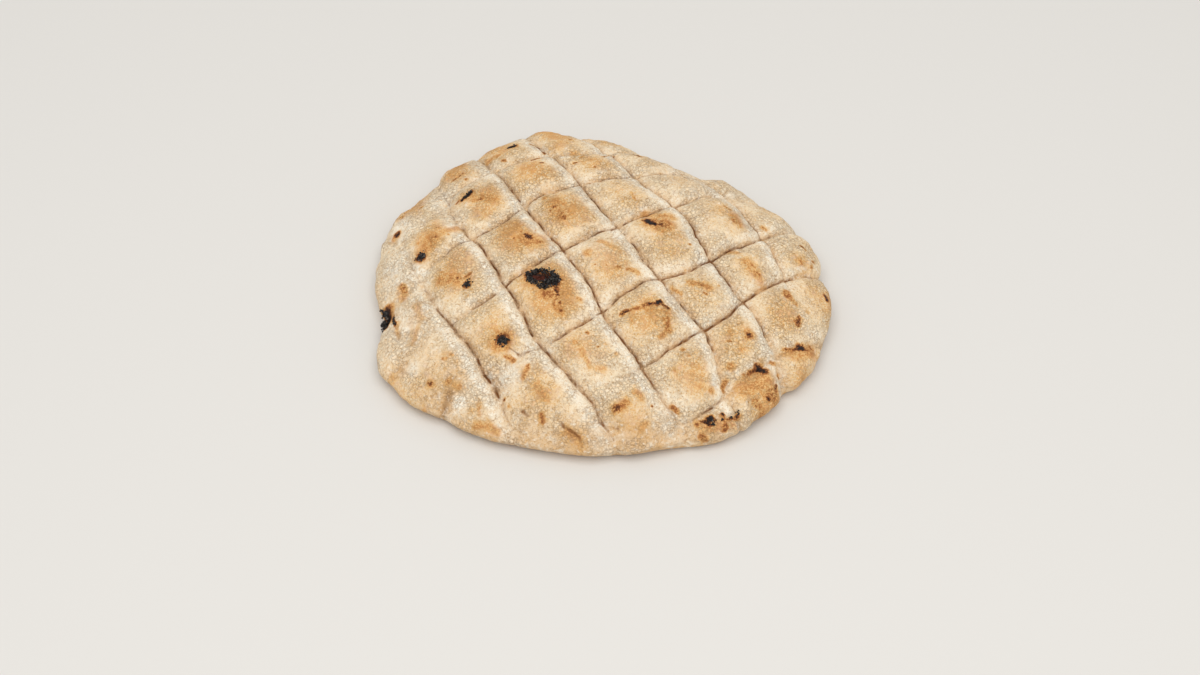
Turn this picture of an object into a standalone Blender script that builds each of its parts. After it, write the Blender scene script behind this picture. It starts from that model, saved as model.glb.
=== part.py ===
"""A somun: a domed flatbread, scored in a lattice before baking, lying on its flat base.

Metres, +Z up. The origin is the middle of the base, +X is the bread's right and +Y its back.
Sizes in the tables are millimetres and become metres where the mesh is made.
"""

import math

import bmesh
import bpy
import numpy as np

MM = 0.001
NODE = "somun_bread"

# The dome: crust height over the table at the crown, and the height of the widest line of the rim.
CROWN_HEIGHT = 33.0
RIM_HEIGHT_BACK = 10.0
RIM_HEIGHT_FRONT = 6.5
# How far the flat base lies inside the widest line.
BASE_INSET = 9.0
# The dome is a superellipse: its powers where the rim is plump, at the back, and where it is thin, in front.
DOME_POWER = (2.7, 2.2)
DOME_SHARPNESS = (0.58, 0.72)
THINNEST_RIM_ANGLE = math.radians(250.0)

# The widest line of the rim, as its distance from the origin every 15 degrees, from +X towards +Y.
RIM_RADII = (
    101.0, 97.0, 89.0, 83.0, 79.0, 81.0, 89.0, 96.0,
    98.0, 100.0, 99.0, 104.0, 102.0, 101.0, 108.0, 102.0,
    98.0, 94.0, 94.0, 94.0, 100.0, 99.0, 103.0, 104.0,
)

# The lattice: the rising cuts run to the right and back, the falling ones square to them.
LATTICE_ANGLE = math.radians(32.0)
CUT_STATIONS = (-90.0, -60.0, -30.0, 0.0, 30.0, 60.0, 90.0)
# Each cut: how far across the lattice it lies at each station along it, then its depth there as a share.
RISING_CUTS = (
    ((58.0, 62.5, 75.5, 74.5, 62.0, 51.5, 30.5), (0.1, 0.2, 0.5, 0.6, 0.6, 0.5, 0.4)),
    ((32.0, 41.0, 42.0, 46.5, 38.5, 32.0, 21.0), (0.1, 0.5, 0.9, 1.0, 0.8, 0.6, 0.6)),
    ((8.5, 6.0, 10.5, 11.5, 9.5, 8.5, -1.5), (0.2, 0.8, 1.0, 1.0, 0.9, 0.6, 0.5)),
    ((-29.5, -27.5, -29.5, -24.5, -28.0, -25.5, -23.5), (0.0, 0.4, 0.8, 0.9, 0.9, 1.0, 0.5)),
    ((-72.0, -68.5, -61.0, -59.0, -56.0, -49.5, -51.5), (0.0, 0.0, 0.3, 0.9, 1.0, 1.0, 0.6)),
    ((-96.0, -93.0, -87.5, -89.5, -83.5, -82.5, -77.0), (0.0, 0.0, 0.1, 0.8, 0.9, 0.7, 0.4)),
)
FALLING_CUTS = (
    ((55.5, 63.5, 70.0, 72.5, 66.5, 58.0, 54.0), (0.0, 0.2, 0.8, 0.8, 0.4, 0.1, 0.0)),
    ((36.5, 41.0, 39.5, 45.0, 41.0, 40.5, 36.0), (0.8, 0.9, 1.0, 0.9, 0.8, 0.7, 0.7)),
    ((8.5, 15.5, 13.5, 14.5, 14.5, 16.0, 15.0), (0.7, 1.0, 0.9, 0.9, 1.0, 0.8, 0.6)),
    ((-17.0, -17.5, -17.5, -13.5, -14.5, -12.5, -11.0), (0.4, 0.9, 0.9, 1.0, 1.0, 0.8, 0.6)),
    ((-45.0, -44.0, -48.5, -46.0, -43.0, -42.5, -34.0), (0.3, 0.8, 0.9, 0.9, 1.0, 0.6, 0.4)),
    ((-77.0, -78.0, -75.0, -74.5, -74.5, -70.0, -73.0), (0.0, 0.2, 1.0, 0.9, 0.6, 0.3, 0.2)),
)
# A cut is a crease in a wide soft valley. Each: depth, reach to either side, and the power of its fall.
CREASE = (2.6, 2.8, 1.1)
VALLEY = (2.4, 7.5, 1.6)
# The lip on the near or left side stands higher than the other: by how much at rising cuts and at falling ones.
LIP_HEIGHTS = (0.2, 0.6)
LIP_WIDTH = 5.0
# A hand-made cut wanders a little from its line.
WOBBLE = 0.4
WOBBLE_LENGTH = 6.0
# The height under which the rim carries no relief.
PLAIN_BELOW = 0.5

# Puffed and sunken places: from x, y to x, y, radius and height of each.
SWELLS = (
    (63.0, -66.0, 69.0, -61.0, 9.0, 3.0),
    (82.0, -51.0, 88.0, -47.0, 8.5, 2.8),
    (77.5, -57.0, 80.0, -63.0, 3.5, -2.2),
    (-98.0, -21.0, -98.0, -21.0, 5.0, -3.5),
    (-87.0, -53.0, -87.0, -53.0, 7.0, -1.8),
    (-62.0, -68.0, -69.0, -77.0, 4.5, -1.9),
    (-45.0, -62.0, -45.0, -67.0, 6.0, -1.4),
    (-73.0, -62.0, -73.0, -62.0, 10.0, 1.4),
    (-27.0, -22.0, -27.0, -22.0, 11.0, 1.2),
    (20.0, -38.0, 20.0, -38.0, 10.0, 0.8),
    (-10.0, 22.0, -10.0, 22.0, 11.0, 0.9),
    (44.0, -30.0, 44.0, -30.0, 10.0, -0.6),
    (36.0, -90.0, 44.0, -88.0, 7.0, -1.4),
    (96.0, -36.0, 96.0, -36.0, 4.5, 1.6),
    (96.0, -47.0, 91.0, -53.0, 4.0, -1.8),
    (90.0, -56.0, 90.0, -56.0, 4.0, -2.8),
    (59.0, -79.0, 59.0, -79.0, 4.5, 2.6),
    (-97.0, -37.0, -95.0, -49.0, 5.0, 1.6),
    (-101.0, 16.0, -101.0, 16.0, 4.0, -1.8),
    (-92.0, 37.0, -92.0, 37.0, 5.0, 1.6),
    (-74.0, 66.0, -74.0, 66.0, 5.0, 1.4),
    (-27.0, 90.0, -36.0, 86.0, 5.0, 2.2),
    (56.0, 58.0, 56.0, 58.0, 4.5, 1.6),
)

# The underside is flat between three spots near its edge, and past them it slopes up by a hair.
REST_ANGLES = (math.radians(90.0), math.radians(210.0), math.radians(330.0))
UNDERSIDE_SLOPE = 0.008

# The mesh: a ball of square faces, finer on top, its points crowded towards the cuts.
BALL_CUTS = 30
MESH_WEIGHTS = (1.0, 0.8, 0.2)
CROWDING = 0.62
CROWDING_REACH = 4.5
CROWDING_LIMITS = (0.86, 0.96)

CRUST_COLOUR = (0.78, 0.58, 0.37, 1.0)
CRUST_ROUGHNESS = 0.85

TABLE_STEPS = 400
RANDOM_SEED = 11


def clear_scene():
    for old in list(bpy.data.objects):
        bpy.data.objects.remove(old)


def smoothstep(low, high, value):
    share = np.clip((value - low) / (high - low), 0.0, 1.0)
    return share * share * (3.0 - 2.0 * share)


def catmull_rom(before, start, end, after, share):
    """The smooth curve from start to end that would go on through before and after."""
    return start + 0.5 * share * (
        end - before + share * (
            2.0 * before - 5.0 * start + 4.0 * end - after
            + share * (3.0 * (start - end) + after - before)
        )
    )


def rim_radius(angle):
    """Distance of the widest line from the origin, smooth all the way round."""
    radii = np.array(RIM_RADII)
    place = np.mod(angle, 2.0 * math.pi) / (2.0 * math.pi) * len(radii)
    index = np.floor(place).astype(int)
    around = [radii[(index + step) % len(radii)] for step in (-1, 0, 1, 2)]
    return catmull_rom(*around, place - index)


def along_cut(values, station):
    """A cut's value at a station, smooth between the table's and straight on past them."""
    first, last = values[0], values[-1]
    padded = np.array((2 * first - values[1], *values, 2 * last - values[-2]))
    spacing = CUT_STATIONS[1] - CUT_STATIONS[0]
    place = (station - CUT_STATIONS[0]) / spacing
    index = np.clip(np.floor(place), 0, len(values) - 2).astype(int)
    around = [padded[index + step] for step in range(4)]
    inside = catmull_rom(*around, np.clip(place - index, 0.0, 1.0))
    past_end = np.maximum(place - (len(values) - 1), 0.0) * (last - values[-2])
    past_start = np.minimum(place, 0.0) * (values[1] - first)
    return inside + past_end + past_start


def plumpness(angle):
    """1 where the rim is plump, at the back, down to 0 where it is thin."""
    return 0.5 - 0.5 * np.cos(angle - THINNEST_RIM_ANGLE)


def dome_power(angle):
    return DOME_POWER[1] + (DOME_POWER[0] - DOME_POWER[1]) * plumpness(angle)


def section(angle, turn):
    """Distance from the axis and height, for a place on the smooth loaf.

    turn runs from 0 at the crown to 1 at the widest line, 2 at the base's edge and 3 at the base's middle.
    """
    plump = plumpness(angle)
    sharpness = DOME_SHARPNESS[1] + (DOME_SHARPNESS[0] - DOME_SHARPNESS[1]) * plump
    rim_height = RIM_HEIGHT_FRONT + (RIM_HEIGHT_BACK - RIM_HEIGHT_FRONT) * plump
    radius = rim_radius(angle)

    over = np.clip(turn, 0.0, 1.0) * 0.5 * math.pi
    top_radius = radius * np.sin(over) ** (2.0 / dome_power(angle))
    upwards = np.maximum(np.cos(over), 0.0) ** (2.0 * sharpness)
    top_height = rim_height + (CROWN_HEIGHT - rim_height) * upwards

    under = np.clip(turn - 1.0, 0.0, 1.0) * 0.5 * math.pi
    inward = np.clip(turn - 2.0, 0.0, 1.0)
    low_radius = (radius - BASE_INSET * (1.0 - np.cos(under))) * (1.0 - inward)
    low_height = rim_height * (1.0 - np.sin(under))

    on_top = turn <= 1.0
    return np.where(on_top, top_radius, low_radius), np.where(on_top, top_height, low_height)


def dome_turn(angle, radius):
    """The turn at which the top of the loaf lies at this distance from the axis."""
    share = np.clip(radius / rim_radius(angle), 0.0, 1.0)
    return np.arcsin(share ** (0.5 * dome_power(angle))) / (0.5 * math.pi)


def lattice_place(x, y):
    """(along, across) a rising cut; a falling cut has the two the other way round."""
    along = x * math.cos(LATTICE_ANGLE) + y * math.sin(LATTICE_ANGLE)
    across = y * math.cos(LATTICE_ANGLE) - x * math.sin(LATTICE_ANGLE)
    return along, across


def plan_place(along, across):
    x = along * math.cos(LATTICE_ANGLE) - across * math.sin(LATTICE_ANGLE)
    y = along * math.sin(LATTICE_ANGLE) + across * math.cos(LATTICE_ANGLE)
    return x, y


def cut_distances(along, across, cuts, phases):
    """For each cut of one family: the signed distance of each place from it, and its depth share there."""
    found = []
    for (offsets, depths), phase in zip(cuts, phases):
        track = along_cut(offsets, along) + WOBBLE * np.sin(along / WOBBLE_LENGTH + phase)
        share = np.clip(along_cut(depths, along), 0.0, 1.0)
        found.append((across - track, share))
    return found


def wobble_phases():
    rng = np.random.default_rng(RANDOM_SEED)
    return rng.uniform(0.0, 2.0 * math.pi, (2, len(RISING_CUTS)))


def crowd_towards_cuts(x, y):
    """Draws the places nearest a cut closer to it, so that its valley has enough points."""
    along, across = lattice_place(x, y)
    phases = wobble_phases()
    for distance, share in cut_distances(along, across, RISING_CUTS, phases[0]):
        across = across - distance * share * CROWDING * np.exp(-((distance / CROWDING_REACH) ** 2))
    for distance, share in cut_distances(across, along, FALLING_CUTS, phases[1]):
        along = along - distance * share * CROWDING * np.exp(-((distance / CROWDING_REACH) ** 2))
    return plan_place(along, across)


def away_from(x, y, start_x, start_y, end_x, end_y):
    """Distance of each place from a short straight line."""
    run_x, run_y = end_x - start_x, end_y - start_y
    length = max(run_x**2 + run_y**2, 1e-9)
    share = np.clip(((x - start_x) * run_x + (y - start_y) * run_y) / length, 0.0, 1.0)
    return np.hypot(x - start_x - share * run_x, y - start_y - share * run_y)


def relief(x, y):
    """How far the crust stands proud of the smooth loaf: pillows, cuts with one lip raised, and swells."""
    along, across = lattice_place(x, y)
    phases = wobble_phases()
    rising = cut_distances(along, across, RISING_CUTS, phases[0])
    falling = cut_distances(across, along, FALLING_CUTS, phases[1])
    height = np.zeros_like(x)
    for depth, reach, power in (CREASE, VALLEY):
        uncut = np.ones_like(x)
        for distance, share in rising + falling:
            uncut *= 1.0 - share * np.exp(-((np.abs(distance) / reach) ** power))
        height -= depth * (1.0 - uncut)
    for cuts, lip in zip((rising, falling), LIP_HEIGHTS):
        for distance, share in cuts:
            height -= share * lip * np.tanh(distance) * np.exp(-np.abs(distance) / LIP_WIDTH)
    for *ends, radius, swell in SWELLS:
        height += swell * np.exp(-((away_from(x, y, *ends) / radius) ** 2))
    return height


def turn_of_share():
    """A table that spreads the ball's faces over the loaf: share of the ball passed, and the turn there."""
    turn = np.linspace(0.0, 3.0, TABLE_STEPS)
    radius, height = section(np.full_like(turn, 0.5 * math.pi), turn)
    strip = np.hypot(np.diff(radius), np.diff(height)) * 0.5 * (radius[1:] + radius[:-1])
    middle = np.floor(0.5 * (turn[1:] + turn[:-1])).astype(int)
    strip *= np.array(MESH_WEIGHTS)[middle]
    passed = np.concatenate(([0.0], np.cumsum(strip)))
    return passed / passed[-1], turn


def loaf_points(ball):
    """Moves the points of a unit ball to the smooth loaf."""
    # The ball is turned with the lattice, so that its rows of faces run along the cuts.
    angle = np.arctan2(ball[:, 1], ball[:, 0]) + LATTICE_ANGLE
    share, turns = turn_of_share()
    turn = np.interp(0.5 * (1.0 - ball[:, 2]), share, turns)
    radius, height = section(angle, turn)
    x, y = radius * np.cos(angle), radius * np.sin(angle)

    near_x, near_y = crowd_towards_cuts(x, y)
    pull = (turn < 1.0) * (1.0 - smoothstep(*CROWDING_LIMITS, radius / rim_radius(angle)))
    x = x + pull * (near_x - x)
    y = y + pull * (near_y - y)
    moved_angle, moved_radius = np.arctan2(y, x), np.hypot(x, y)
    _, moved_height = section(moved_angle, dome_turn(moved_angle, moved_radius))
    height = np.where(pull > 0.0, moved_height, height)
    return np.stack((x, y, height), axis=1)


def ball_mesh():
    """A unit ball of square faces, evenly sized."""
    mesh = bmesh.new()
    bmesh.ops.create_cube(mesh, size=2.0)
    bmesh.ops.subdivide_edges(mesh, edges=mesh.edges[:], cuts=BALL_CUTS, use_grid_fill=True)
    for vertex in mesh.verts:
        vertex.co = [math.tan(part * 0.25 * math.pi) for part in vertex.co]
        vertex.co.normalize()
    return mesh


def rest_on_spots(points):
    """Leaves the loaf standing steadily on the three farthest points of its flat base."""
    base = np.flatnonzero(points[:, 2] <= 0.0)
    across = points[base, :2]
    spots = [across[np.argmax(across @ (math.cos(angle), math.sin(angle)))] for angle in REST_ANGLES]
    beyond = np.zeros(len(base))
    for start, end in zip(spots, spots[1:] + spots[:1]):
        side = (end - start) / np.linalg.norm(end - start)
        beyond = np.maximum(beyond, (across - start) @ (side[1], -side[0]))
    points[base, 2] = UNDERSIDE_SLOPE * beyond


def set_points(mesh, points):
    for vertex, point in zip(mesh.verts, points):
        vertex.co = point
    mesh.normal_update()


def bread_mesh():
    mesh = ball_mesh()
    points = loaf_points(np.array([vertex.co for vertex in mesh.verts]))
    set_points(mesh, points)
    normals = np.array([vertex.normal for vertex in mesh.verts])
    # The relief runs down over the rim and dies out before the base.
    shown = smoothstep(PLAIN_BELOW, RIM_HEIGHT_FRONT, points[:, 2])
    points += normals * (shown * relief(points[:, 0], points[:, 1]))[:, None]
    points[:, 2] = np.maximum(points[:, 2], 0.0)
    rest_on_spots(points)
    set_points(mesh, points * MM)
    return mesh


def crust_material():
    material = bpy.data.materials.new("baked_crust")
    material.use_nodes = True
    shader = material.node_tree.nodes["Principled BSDF"]
    shader.inputs["Base Color"].default_value = CRUST_COLOUR
    shader.inputs["Roughness"].default_value = CRUST_ROUGHNESS
    shader.inputs["Metallic"].default_value = 0.0
    return material


def main():
    clear_scene()
    made = bread_mesh()
    data = bpy.data.meshes.new(NODE)
    made.to_mesh(data)
    made.free()
    data.shade_smooth()
    data.materials.append(crust_material())
    bread = bpy.data.objects.new(NODE, data)
    bpy.context.scene.collection.objects.link(bread)


if __name__ == "__main__":
    main()
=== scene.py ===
"""The looks of the somun: its crust in full detail, the burnt crumbs on it, soft light and a camera."""

import math

import bmesh
import bpy
import numpy as np
from mathutils import Matrix, Vector, noise
from mathutils.bvhtree import BVHTree


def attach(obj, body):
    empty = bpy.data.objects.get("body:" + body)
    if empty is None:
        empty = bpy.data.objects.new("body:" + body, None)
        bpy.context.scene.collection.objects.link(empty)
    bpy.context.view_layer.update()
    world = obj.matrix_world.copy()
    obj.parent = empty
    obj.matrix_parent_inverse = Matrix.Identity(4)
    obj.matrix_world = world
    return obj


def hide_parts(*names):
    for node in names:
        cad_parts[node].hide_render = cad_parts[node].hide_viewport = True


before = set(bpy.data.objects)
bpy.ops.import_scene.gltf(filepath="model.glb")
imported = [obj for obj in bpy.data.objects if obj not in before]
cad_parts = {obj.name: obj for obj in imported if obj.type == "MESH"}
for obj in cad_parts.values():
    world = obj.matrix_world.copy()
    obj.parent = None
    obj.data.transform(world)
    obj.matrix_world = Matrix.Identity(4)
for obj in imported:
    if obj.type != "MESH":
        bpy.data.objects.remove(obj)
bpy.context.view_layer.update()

MM = 0.001

# The loaf's own sizes, in millimetres, as its solid has them. The rim's height is that of its widest line,
# and the base lies this far inside it.
CROWN_HEIGHT = 33.0
RIM_HEIGHT_BACK = 10.0
RIM_HEIGHT_FRONT = 6.5
BASE_INSET = 9.0
# The dome's section, where the rim is plump and where it is thin.
DOME_POWER = (2.7, 2.2)
DOME_SHARPNESS = (0.58, 0.72)
THINNEST_RIM_ANGLE = math.radians(250.0)
# Distance of the widest line from the origin at 24 even angles, from +X towards +Y.
RIM_RADII = (
    101.0, 97.0, 89.0, 83.0, 79.0, 81.0, 89.0, 96.0,
    98.0, 100.0, 99.0, 104.0, 102.0, 101.0, 108.0, 102.0,
    98.0, 94.0, 94.0, 94.0, 100.0, 99.0, 103.0, 104.0,
)

# The lattice of cuts: offset across the lattice at each station along a cut, and depth there as a share.
LATTICE_ANGLE = math.radians(32.0)
CUT_STATIONS = (-90.0, -60.0, -30.0, 0.0, 30.0, 60.0, 90.0)
RISING_CUTS = (
    ((58.0, 62.5, 75.5, 74.5, 62.0, 51.5, 30.5), (0.1, 0.2, 0.5, 0.6, 0.6, 0.5, 0.4)),
    ((32.0, 41.0, 42.0, 46.5, 38.5, 32.0, 21.0), (0.1, 0.5, 0.9, 1.0, 0.8, 0.6, 0.6)),
    ((8.5, 6.0, 10.5, 11.5, 9.5, 8.5, -1.5), (0.2, 0.8, 1.0, 1.0, 0.9, 0.6, 0.5)),
    ((-29.5, -27.5, -29.5, -24.5, -28.0, -25.5, -23.5), (0.0, 0.4, 0.8, 0.9, 0.9, 1.0, 0.5)),
    ((-72.0, -68.5, -61.0, -59.0, -56.0, -49.5, -51.5), (0.0, 0.0, 0.3, 0.9, 1.0, 1.0, 0.6)),
    ((-96.0, -93.0, -87.5, -89.5, -83.5, -82.5, -77.0), (0.0, 0.0, 0.1, 0.8, 0.9, 0.7, 0.4)),
)
FALLING_CUTS = (
    ((55.5, 63.5, 70.0, 72.5, 66.5, 58.0, 54.0), (0.0, 0.2, 0.8, 0.8, 0.4, 0.1, 0.0)),
    ((36.5, 41.0, 39.5, 45.0, 41.0, 40.5, 36.0), (0.8, 0.9, 1.0, 0.9, 0.8, 0.7, 0.7)),
    ((8.5, 15.5, 13.5, 14.5, 14.5, 16.0, 15.0), (0.7, 1.0, 0.9, 0.9, 1.0, 0.8, 0.6)),
    ((-17.0, -17.5, -17.5, -13.5, -14.5, -12.5, -11.0), (0.4, 0.9, 0.9, 1.0, 1.0, 0.8, 0.6)),
    ((-45.0, -44.0, -48.5, -46.0, -43.0, -42.5, -34.0), (0.3, 0.8, 0.9, 0.9, 1.0, 0.6, 0.4)),
    ((-77.0, -78.0, -75.0, -74.5, -74.5, -70.0, -73.0), (0.0, 0.2, 1.0, 0.9, 0.6, 0.3, 0.2)),
)
# Depth, reach to either side and power of fall of the cut's slit, its crease and the valley round it.
SLIT = (1.0, 0.5, 2.0)
CREASE = (2.8, 1.8, 1.0)
VALLEY = (2.3, 6.6, 1.8)
# A slit opens where its cut's depth share passes these, and closes up in places about this long.
SHALLOWEST_SLIT = (0.1, 0.5)
SLIT_BREAKS = 7.0
SLIT_OPENING = (-0.6, 0.0)
# Small cracks in the skin: from x, y to x, y, and depth as a share of a slit's.
CRACKS = (
    (-32.1, -76.3, -34.2, -78.1, 0.5), (-34.2, -78.1, -31.7, -80.0, 0.6), (-19.6, -80.0, -16.5, -84.3, 0.5),
    (-16.5, -84.3, -13.6, -86.4, 0.6), (-13.6, -86.4, -9.8, -88.6, 0.7), (-9.8, -88.6, -8.0, -92.5, 0.7),
    (-3.4, -83.4, 0.0, -85.0, 0.5), (2.6, -85.4, 6.8, -85.7, 0.5), (6.4, -83.4, 6.8, -86.6, 0.4),
    (-40.2, -50.4, -35.9, -53.6, 0.6), (-35.9, -53.6, -31.6, -51.5, 0.5), (-41.6, -53.0, -37.6, -56.6, 0.4),
    (-33.9, 79.7, -30.0, 75.4, 0.5), (-30.0, 75.4, -27.4, 69.6, 0.7), (-1.0, -73.4, 1.2, -75.2, 0.4),
    (37.0, -68.4, 39.6, -74.2, 0.4), (34.4, -70.6, 31.4, -73.6, 0.4), (-45.8, -62.0, -43.6, -66.0, 0.6),
)
# The puffed rim hides the slit behind it: from x, y to x, y, and how far round.
SLIT_HIDDEN = (58.0, -62.0, 92.0, -42.0, 14.0)
# How far one lip of a cut is raised and the other sunk, for rising cuts and for falling ones, and its width.
LIP_HEIGHTS = (0.2, 0.6)
LIP_WIDTH = 3.5
# The slow wobble along a cut.
WOBBLE = 0.4
WOBBLE_LENGTH = 6.0
# How ragged the cuts are: length and reach of each waver.
RAGGED = ((9.0, 0.9), (3.0, 0.45))
# Below this height the crust is plain, as the solid's is.
PLAIN_BELOW = 0.5
# Heights between which the underside's brown gives way to the crust above.
UNDERSIDE_EDGE = (1.5, 6.0)

RANDOM_SEED = 11
CUT_SEED = 20
BURN_SEED = 40
SLIT_SEED = 60
CRACK_SEED = 80
# Where in the noise each seed starts, and the fall and step from one octave to the next.
SEED_SHIFT = Vector((17.3, 5.1, 29.7))
OCTAVES = (1.0, 2.0)

# Puffed and sunken places: from x, y to x, y, radius and height of each.
SWELLS = (
    (63.0, -66.0, 69.0, -61.0, 9.0, 3.0),
    (82.0, -51.0, 88.0, -47.0, 8.5, 2.8),
    (77.5, -57.0, 80.0, -63.0, 3.5, -2.2),
    (-98.0, -21.0, -98.0, -21.0, 5.0, -3.5),
    (-87.0, -53.0, -87.0, -53.0, 7.0, -1.8),
    (-62.0, -68.0, -69.0, -77.0, 4.5, -1.9),
    (-45.0, -62.0, -45.0, -67.0, 6.0, -1.4),
    (-73.0, -62.0, -73.0, -62.0, 10.0, 1.4),
    (-27.0, -22.0, -27.0, -22.0, 11.0, 1.2),
    (20.0, -38.0, 20.0, -38.0, 10.0, 0.8),
    (-10.0, 22.0, -10.0, 22.0, 11.0, 0.9),
    (44.0, -30.0, 44.0, -30.0, 10.0, -0.6),
    (36.0, -90.0, 44.0, -88.0, 7.0, -1.4),
    (96.0, -36.0, 96.0, -36.0, 4.5, 1.6),
    (96.0, -47.0, 91.0, -53.0, 4.0, -1.8),
    (90.0, -56.0, 90.0, -56.0, 4.0, -2.8),
    (59.0, -79.0, 59.0, -79.0, 4.5, 2.6),
    (-97.0, -37.0, -95.0, -49.0, 5.0, 1.6),
    (-101.0, 16.0, -101.0, 16.0, 4.0, -1.8),
    (-92.0, 37.0, -92.0, 37.0, 5.0, 1.6),
    (-74.0, 66.0, -74.0, 66.0, 5.0, 1.4),
    (-27.0, 90.0, -36.0, 86.0, 5.0, 2.2),
    (56.0, 58.0, 56.0, 58.0, 4.5, 1.6),
    # The torn hole of the large blister.
    (-30.0, -15.6, -24.5, -17.4, 1.9, -1.8),
)
# The skin's own unevenness, from puckers down to grain: length and height of each.
SKIN = ((14.0, 0.6), (5.0, 0.42), (2.2, 0.26))
# How much rougher it is where it has charred, and how dark that is.
ROUGHER_BURNT = 2.0
CHARRED = (0.85, 1.0)

# How finely the ball is cut, and how densely its faces lie on the top, the side and the base.
BALL_CUTS = 127
MESH_WEIGHTS = (1.0, 0.8, 0.2)
SPREAD_STEPS = 400
# How far the points beside a cut are drawn to it, from how far away, and where this fades near the rim.
CROWDING = 0.55
CROWDING_REACH = 3.5
CROWDING_LIMITS = (0.86, 0.96)

# How golden each pillow is, by rows from the back and columns from the right.
BAKING = (
    (0.5, 1.1, 1.1, 0.9, 1.2, 1.1, 0.9),
    (0.4, 0.4, 0.9, 1.1, 1.0, 1.0, 0.7),
    (0.2, 0.3, 0.7, 1.1, 1.2, 1.0, 0.45),
    (0.4, 0.6, 0.7, 1.0, 1.3, 0.7, 0.6),
    (0.4, 0.5, 0.6, 1.0, 0.9, 0.7, 0.5),
    (0.8, 0.8, 0.8, 0.9, 0.7, 0.6, 0.5),
    (0.8, 0.9, 1.1, 0.7, 0.8, 0.6, 0.4),
)
# How wide a pillow past the last cut counts, and its golden patch: middle, size, edge and wander, as shares.
OUTER_PILLOW = 26.0
PATCH_MIDDLE = (0.5, 0.55)
PATCH_SIZE = 0.29
PATCH_EDGE = 1.3
PATCH_WANDER = 0.08

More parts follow.
